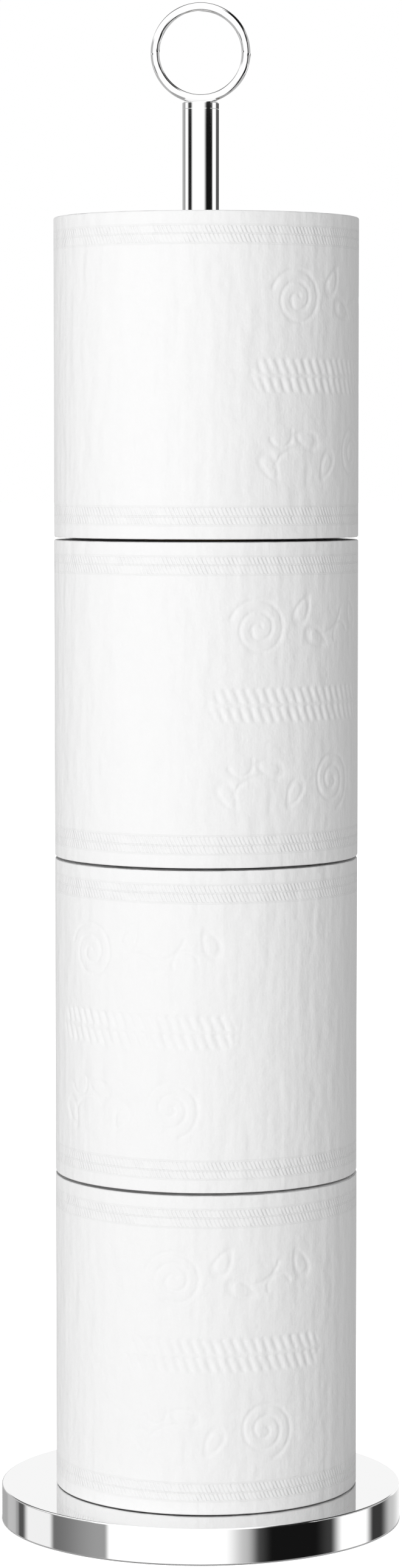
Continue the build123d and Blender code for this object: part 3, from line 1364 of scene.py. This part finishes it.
@dataclass(frozen=True)
class Tissue:
    """The wound tissue of one roll, a closed body with its outer sheet embossed."""

    level: int
    turn: float  # azimuth that the side opposite the free end faces
    seed: int
    bore: float = 22.05
    rim: float = 0.5
    rim_steps: int = 3
    side_start: float = 1.5  # where the side's relief starts, in rims from the outside
    emboss_fade: Point = (3, 1)  # how near the ends the embossing fades, and stops
    figure_columns: int = 158  # across each repeat of the figures
    plain_columns: int = 27  # from the figures to the free end, or to the line opposite it
    tail_columns: int = 16  # across the free end
    tail_reach: float = 2.4
    tail_step: float = 0.2
    tail_wander: float = 0.5
    tail_wave: float = 15  # height over which the free end wanders by a radian
    edge_rows: int = 9
    figure_rows: int = 72
    band_rows: int = 25
    band_half_height: float = 6.3
    wobble_depth: float = 0.14
    wobble_waves: tuple[int, int] = (5, 44)
    wobble_terms: int = 16
    wobble_strength: Point = (0.4, 1.0)
    drift_strength: Point = (0.2, 1.0)
    drift_length: Point = (18, 40)
    end_rings: int = 12
    end_unevenness: float = 0.12
    end_seed: int = 100
    end_terms: int = 6
    end_waves: tuple[int, int] = (1, 7)
    end_ripple: Point = (2.5, 9.0)
    embossing: Embossing = field(default_factory=Embossing)

    @property
    def node(self) -> str:
        """The CAD node that it stands for."""
        return f"roll_{self.level}_paper"

    def side_levels(self, half: float) -> np.ndarray:
        """Spaces the rows of the side, closer where figures are pressed.

        Args:
            half: Half the height of the straight side.

        Returns:
            Heights from the lowest to the highest.
        """
        band, top = self.band_half_height, self.embossing.figure_top
        spans = [
            (-half, -top, self.edge_rows),
            (-top, -band, self.figure_rows),
            (-band, band, self.band_rows),
            (band, top, self.figure_rows),
            (top, half, self.edge_rows),
        ]
        return np.append(spaced(spans), half)

    def columns(self, radius: float) -> np.ndarray:
        """Spaces the columns round the roll, closer across the figures and the free end.

        Args:
            radius: The roll's radius.

        Returns:
            Azimuths of one full turn, from the start of the first figures.
        """
        repeat = FULL_TURN / self.embossing.repeats
        reach = self.embossing.band_half_length / radius
        tail = self.tail_reach / radius
        spans = [
            (-reach, reach, self.figure_columns),
            (reach, repeat / 2 - tail, self.plain_columns),
            (repeat / 2 - tail, repeat / 2 + tail, self.tail_columns),
            (repeat / 2 + tail, repeat - reach, self.plain_columns),
        ]
        starts = repeat * (np.arange(self.embossing.repeats) + 0.5) - math.pi
        return (starts[:, None] + spaced(spans)).ravel()

    def wobble(self, azimuth: np.ndarray, height: np.ndarray) -> np.ndarray:
        """Gives the soft upright unevenness of a loosely wound roll.

        Args:
            azimuth: Angles round the roll.
            height: Heights above its middle.

        Returns:
            How far the surface lies inside its mean radius.
        """
        chance = np.random.default_rng(self.seed)
        total = np.zeros(np.broadcast(azimuth, height).shape)
        for _ in range(self.wobble_terms):
            waves = int(chance.integers(*self.wobble_waves))
            phase, drift_phase = chance.uniform(0, FULL_TURN, 2)
            drift = chance.uniform(*self.drift_strength) * np.sin(
                height / chance.uniform(*self.drift_length) + drift_phase
            )
            strength = chance.uniform(*self.wobble_strength) / math.sqrt(waves)
            total = total + strength * np.cos(waves * azimuth + phase + drift)
        middle = (total.max() + total.min()) / 2
        return (middle - total) / (total.max() - total.min()) * self.wobble_depth

    def end_relief(
        self, radius: np.ndarray, azimuth: np.ndarray, on_end: np.ndarray
    ) -> np.ndarray:
        """Lets the cut ends lie a little unevenly, always inside their full height.

        Args:
            radius: Distances from the axis.
            azimuth: Angles round the roll.
            on_end: Which rows lie on a cut end.

        Returns:
            How far each point lies inside the flat end.
        """
        chance = np.random.default_rng(self.seed + self.end_seed)
        total = np.zeros(np.broadcast(radius, azimuth).shape)
        for _ in range(self.end_terms):
            waves = int(chance.integers(*self.end_waves))
            ripple = chance.uniform(*self.end_ripple)
            phase = chance.uniform(0, FULL_TURN)
            total = total + np.cos(waves * azimuth + radius / ripple + phase)
        total = (total - total.min()) / (total.max() - total.min())
        return np.where(on_end, total * self.end_unevenness, 0.0)

    def profile(self, radius: float, half: float) -> np.ndarray:
        """Draws the plain outline: side, rims, cut ends and bore.

        Args:
            radius: The roll's radius.
            half: Half its height.

        Returns:
            Rows of radius and height.
        """
        levels = self.side_levels(half - self.rim)
        side = np.stack([np.full_like(levels, radius), levels], axis=-1)
        bend = np.linspace(0, math.pi / 2, self.rim_steps + 2)[1:-1]
        rim = [radius - self.rim + self.rim * np.cos(bend), half - self.rim + self.rim * np.sin(bend)]
        rim = np.stack(rim, axis=-1)
        across = np.linspace(radius - self.rim, self.bore, self.end_rings)
        end = np.stack([across, np.full_like(across, half)], axis=-1)
        mirror = np.array((1.0, -1.0))
        return np.concatenate([side, rim, end, end[::-1] * mirror, rim[::-1] * mirror])

    def mesh(self) -> Piece:
        """Winds the roll as one closed grid.

        Returns:
            The tissue.
        """
        size = Extent.of(self.node)
        half = size.height / 2
        azimuth = self.columns(size.radius)[None, :]
        profile = self.profile(size.radius, half)
        radius, height = profile[:, :1], profile[:, 1:]
        on_end = np.abs(np.abs(height) - half) < TOGETHER
        on_side = smooth_step(radius, size.radius - self.rim * self.side_start, size.radius)
        arc = azimuth * size.radius + 0 * height
        pressed = self.embossing.depth(arc, height + 0 * azimuth, FULL_TURN * size.radius)
        fades, stops = self.emboss_fade
        clear_of_rim = 1 - smooth_step(np.abs(height), half - fades, half - stops)
        tail = self.tail_wander / size.radius * np.sin(height / self.tail_wave + self.seed)
        wound = ((azimuth + tail + math.pi) % FULL_TURN) / FULL_TURN
        inward = (0.5 - wound) * self.tail_step + self.wobble(azimuth, height)
        radius = radius - on_side * inward - on_side * clear_of_rim * pressed
        height = height - np.sign(height) * self.end_relief(radius, azimuth, on_end)
        points = around(radius, azimuth + math.radians(self.turn), height)
        piece = grid_object(f"{self.node}_wound", points)
        piece.location = size.centre
        return piece

    def build(self) -> None:
        """Builds and dresses the tissue."""
        size = Extent.of(self.node)
        finish = CrepeTissue(size.radius, size.height, self.turn)
        material = finish.build(f"crepe_tissue_roll_{self.level}")
        attach(self.mesh(), self.node, material, [self.node])


@dataclass(frozen=True)
class RollStack:
    """The four stored rolls, from the lowest."""

    turns: tuple[float, ...] = (-82.0, 62.0, -50.0, -34.0)
    first_seed: int = 11

    def build(self) -> None:
        """Builds every roll and its core."""
        board = CoreBoard().build(Core(1).seam_rise)
        for level, turn in enumerate(self.turns, start=1):
            Core(level).build(board)
            Tissue(level, turn, self.first_seed + level).build()


# --- Studio ----------------------------------------------------------------------------------


@dataclass(frozen=True)
class Camera:
    """The camera, as fitted to the photograph's perspective."""

    sideways: float = 0.1
    distance: float = 1367.4
    height: float = 340.7
    tilt_down: float = 4.354
    lens: float = 98.84
    sensor: float = 36.0
    clip: Point = (0.05, 100.0)  # in metres

    def build(self) -> None:
        """Sets up the camera in front of the object."""
        camera = add_object("camera", bpy.data.cameras.new("camera"))
        camera.location = (self.sideways * MM, -self.distance * MM, self.height * MM)
        camera.rotation_euler = (math.radians(90 - self.tilt_down), 0.0, 0.0)
        camera.data.lens = self.lens
        camera.data.sensor_width = self.sensor
        camera.data.clip_start, camera.data.clip_end = self.clip
        bpy.context.scene.camera = camera
        LOG.info("camera: %.1f mm in front, %.1f mm up", self.distance, self.height)


@dataclass(frozen=True)
class Card:
    """A board or flag in the studio that only polished metal shows, given by its directions."""

    shade: str
    azimuth: Point
    elevation: Point
    side_fade: float
    end_fade: float


def tier(elevation: Point, end_fade: float, *cards: tuple[str, Point, float]) -> tuple[Card, ...]:
    """Stands cards side by side at one elevation; a later one covers those before it.

    Args:
        elevation: The first and last elevation, in degrees.
        end_fade: How far their ends fade, in degrees.
        cards: The shade, azimuths and side fade of each.

    Returns:
        The cards.
    """
    return tuple(Card(shade, turn, elevation, fade, end_fade) for shade, turn, fade in cards)


RING_CARDS = (  # what the ring and the cap show; a later card covers those before it
    Card("#505050", (125, 235), (20, 62), 4.0, 4.0),
    Card("#b0b0b0", (-180, -64), (-60, 20), 3.0, 5.0),
    Card("#b0b0b0", (70, 142), (-60, 30), 3.0, 5.0),
    Card("#ebebeb", (150, 210), (9, 20), 1.5, 2.0),
    Card("#121212", (36, 66), (-60, 20), 3.0, 2.0),
    Card("#121212", (45, 78), (19, 32), 3.0, 2.0),
    Card("#121212", (45, 130), (30, 60), 3.0, 4.0),
)
POLE_CARDS = tier(  # what the pole shows
    (2.8, 4.8),
    0.12,
    ("#ffffff", (-180, 180), 0.1),
    ("#a8a8a8", (-180, -118), 1.5),
    ("#787878", (-123, -114), 1.5),
    ("#1c1c1c", (-87, -57), 8.0),
    ("#505050", (112, 180), 6.0),
    ("#121212", (27, 60), 12.0),
    ("#121212", (40, 79.8), 6.5),
)
BASE_CARDS = tier(  # what the base's rim shows
    (-20, -9),
    2.0,
    ("#ffffff", (-180, 180), 0.1),
    # Its right side.
    ("#b8b8b8", (113, 180), 1.5),
    ("#e4e4e4", (156, 204), 13.0),
    ("#353535", (105, 135.5), 8.5),
    ("#ffffff", (80, 113.6), 5.0),
    # Its left side.
    ("#b4b4b4", (-180, -132), 1.5),
    ("#a0a0a0", (-180, -150), 3.0),
    ("#949494", (-124, -55), 2.0),
    ("#6a6a6a", (-124, -76), 18.0),
    ("#e8e8e8", (-124, -95.3), 2.5),
    ("#4e4e4e", (-132.5, -121.5), 4.0),
    # The large black flag, right of the middle.
    ("#383838", (55, 85.3), 5.5),
    ("#b4b4b4", (19, 50), 8.0),
    ("#4a4a4a", (29.8, 60), 4.5),
    ("#121212", (36, 74.5), 6.0),
)
FLOOR_CARDS = tier((-90, -60), 4.0, ("#9a9a9a", (-180, 180), 4.0))  # the floor round the base


@dataclass(frozen=True)
class Studio:
    """A white studio: matt white floor, even light from all round and one large soft lamp.

    Polished metal shows the white room with the dark flags that stand in it on both sides, as
    they do in product photography to give chrome its edges.
    """

    fill: float = 0.5
    room_brightness: float = 1.2
    lamp_azimuth: float = -25.0
    lamp_elevation: float = 5.0
    lamp_distance: float = 2600.0
    lamp_width: float = 1540.0
    lamp_height: float = 850.0
    lamp_power: float = 35.7
    floor_size: float = 60000.0
    floor_colour: str = "#f2f2f2"
    floor_gain: float = 3.0  # how much brighter the camera sees the floor than it is
    floor_painted_shade_fade: float = 0.2  # from the painted shade under the base's rim, where the floor keeps its plain colour, to the full gain
    cards: tuple[Card, ...] = RING_CARDS + POLE_CARDS + BASE_CARDS + FLOOR_CARDS

    def floor(self) -> None:
        """Lays the floor: the camera sees it as white, but for a painted shade under the base's rim,
        where it keeps its plain colour over the real contact shadow.
        """
        half = self.floor_size * MM / 2
        mesh = bpy.data.meshes.new("floor")
        corners = [(-half, -half, 0), (half, -half, 0), (half, half, 0), (-half, half, 0)]
        mesh.from_pydata(corners, [], [(0, 1, 2, 3)])
        floor = add_object("floor", mesh)
        material, tree = new_material("matt_white_floor")
        spot = add_node(tree, "NewGeometry").outputs["Position"]
        from_middle = add_node(tree, "VectorMath", (spot,), operation="LENGTH").outputs["Value"]
        rim = Extent.of("base_cover").radius
        full = rim + self.floor_painted_shade_fade
        # painted shade: under the base's rim the camera sees the floor without its gain
        beyond_painted_rim_shade = add_node(
            tree, "MapRange", {"Value": from_middle, "From Min": rim * MM, "From Max": full * MM}
        )
        seen = add_node(tree, "LightPath").outputs["Is Camera Ray"]
        seen = add_node(tree, "Math", (seen, beyond_painted_rim_shade), operation="MULTIPLY")
        gain = add_node(tree, "Math", (seen, self.floor_gain - 1, 1.0), operation="MULTIPLY_ADD")
        plain = linear(self.floor_colour)[:3]
        colour = add_node(tree, "VectorMath", {0: plain, "Scale": gain}, operation="SCALE")
        paint = add_node(tree, "BsdfDiffuse", {"Color": colour})
        add_node(tree, "OutputMaterial", {"Surface": paint})
        mesh.materials.append(material)
        floor.visible_glossy = False

    def lamp(self) -> None:
        """Hangs the large soft lamp in front, to the left."""
        light = bpy.data.lights.new("soft_lamp", "AREA")
        light.energy = self.lamp_power
        light.shape = "RECTANGLE"
        light.size, light.size_y = self.lamp_width * MM, self.lamp_height * MM
        lamp = add_object("soft_lamp", light)
        azimuth, elevation = math.radians(self.lamp_azimuth), math.radians(self.lamp_elevation)
        level = math.cos(elevation)
        away = Vector((math.sin(azimuth) * level, -math.cos(azimuth) * level, math.sin(elevation)))
        middle = (CAD_BOX[0] + CAD_BOX[1]) / 2
        lamp.location = middle + away * self.lamp_distance * MM
        lamp.rotation_mode = "QUATERNION"
        lamp.rotation_quaternion = away.to_track_quat("Z", "Y")
        lamp.visible_glossy = False
        lamp.visible_camera = False

    def band(self, tree: Tree, angle: Node, span: Point, fade: float) -> Node:
        """Marks the directions whose angle lies in a span.

        Args:
            tree: The world's nodes.
            angle: The direction's angle, in degrees.
            span: The first and last angle, in degrees.
            fade: How far each edge fades, in degrees.

        Returns:
            A node that is 1 inside the span.
        """
        first, last = span
        half = (last - first) / 2
        shift = add_node(tree, "Math", (angle, (first + last) / 2), operation="SUBTRACT")
        wrapped = add_node(tree, "Math", (shift, 180.0, -180.0), operation="WRAP")
        away = add_node(tree, "Math", (wrapped,), operation="ABSOLUTE")
        edge = {"From Min": half - fade, "From Max": half + fade, "To Min": 1.0, "To Max": 0.0}
        return add_node(
            tree, "MapRange", {"Value": away, **edge}, interpolation_type="SMOOTHSTEP"
        )

    def mirrored(self, tree: Tree) -> Node:
        """Draws the room and its cards, as polished metal shows them.

        Args:
            tree: The world's nodes.

        Returns:
            How bright each direction is.
        """
        xyz, turn = bearing(tree, add_node(tree, "TexCoord").outputs["Generated"])
        rise = add_node(tree, "Math", (xyz.outputs["Z"],), operation="ARCSINE")
        azimuth, elevation = (
            add_node(tree, "Math", (angle,), operation="DEGREES") for angle in (turn, rise)
        )
        shade: Any = self.room_brightness
        for card in self.cards:
            beside = self.band(tree, azimuth, card.azimuth, card.side_fade)
            above = self.band(tree, elevation, card.elevation, card.end_fade)
            here = add_node(tree, "Math", (beside, above), operation="MULTIPLY")
            grey = linear(card.shade)[0] * self.room_brightness
            shade = add_node(tree, "Mix", {"Factor": here, "A": shade, "B": grey}, data_type="FLOAT")
        return shade

    def room(self) -> None:
        """Surrounds the object with light, and with the cards for polished metal."""
        world = bpy.data.worlds.new("studio")
        bpy.context.scene.world = world
        world.use_nodes = True
        tree = world.node_tree
        tree.nodes.clear()
        white = (1.0, 1.0, 1.0, 1.0)
        shown = add_node(tree, "Background", {"Color": self.mirrored(tree)})
        even = add_node(tree, "Background", {"Strength": self.fill, "Color": white})
        backdrop = add_node(tree, "Background", {"Strength": 1.0, "Color": white})
        rays = add_node(tree, "LightPath").outputs
        by_metal = add_node(
            tree,
            "Math",
            (rays["Is Glossy Ray"], rays["Is Transmission Ray"]),
            operation="MAXIMUM",
        )
        lit = add_node(tree, "MixShader", (by_metal, even, shown))
        seen = add_node(tree, "MixShader", (rays["Is Camera Ray"], lit, backdrop))
        add_node(tree, "OutputWorld", {"Surface": seen})
        world.cycles.sampling_method = "NONE"

    def build(self) -> None:
        """Sets up the floor, the lamp and the room."""
        self.floor()
        self.lamp()
        self.room()
        bpy.context.scene.view_settings.view_transform = "Standard"
        LOG.info("studio: floor, one lamp and %d cards", len(self.cards))


def main() -> None:
    """Builds the scene, from the camera to the rolls."""
    logging.basicConfig(level=logging.INFO, format="%(name)s %(message)s")
    chrome, zinc = PolishedChrome().build(), ZincPlate().build()
    Camera().build()
    Studio().build()
    Base().build(chrome, zinc)
    Pole().build(chrome, zinc)
    RingTop().build(chrome)
    RollStack().build()


if __name__ == "__main__":
    main()
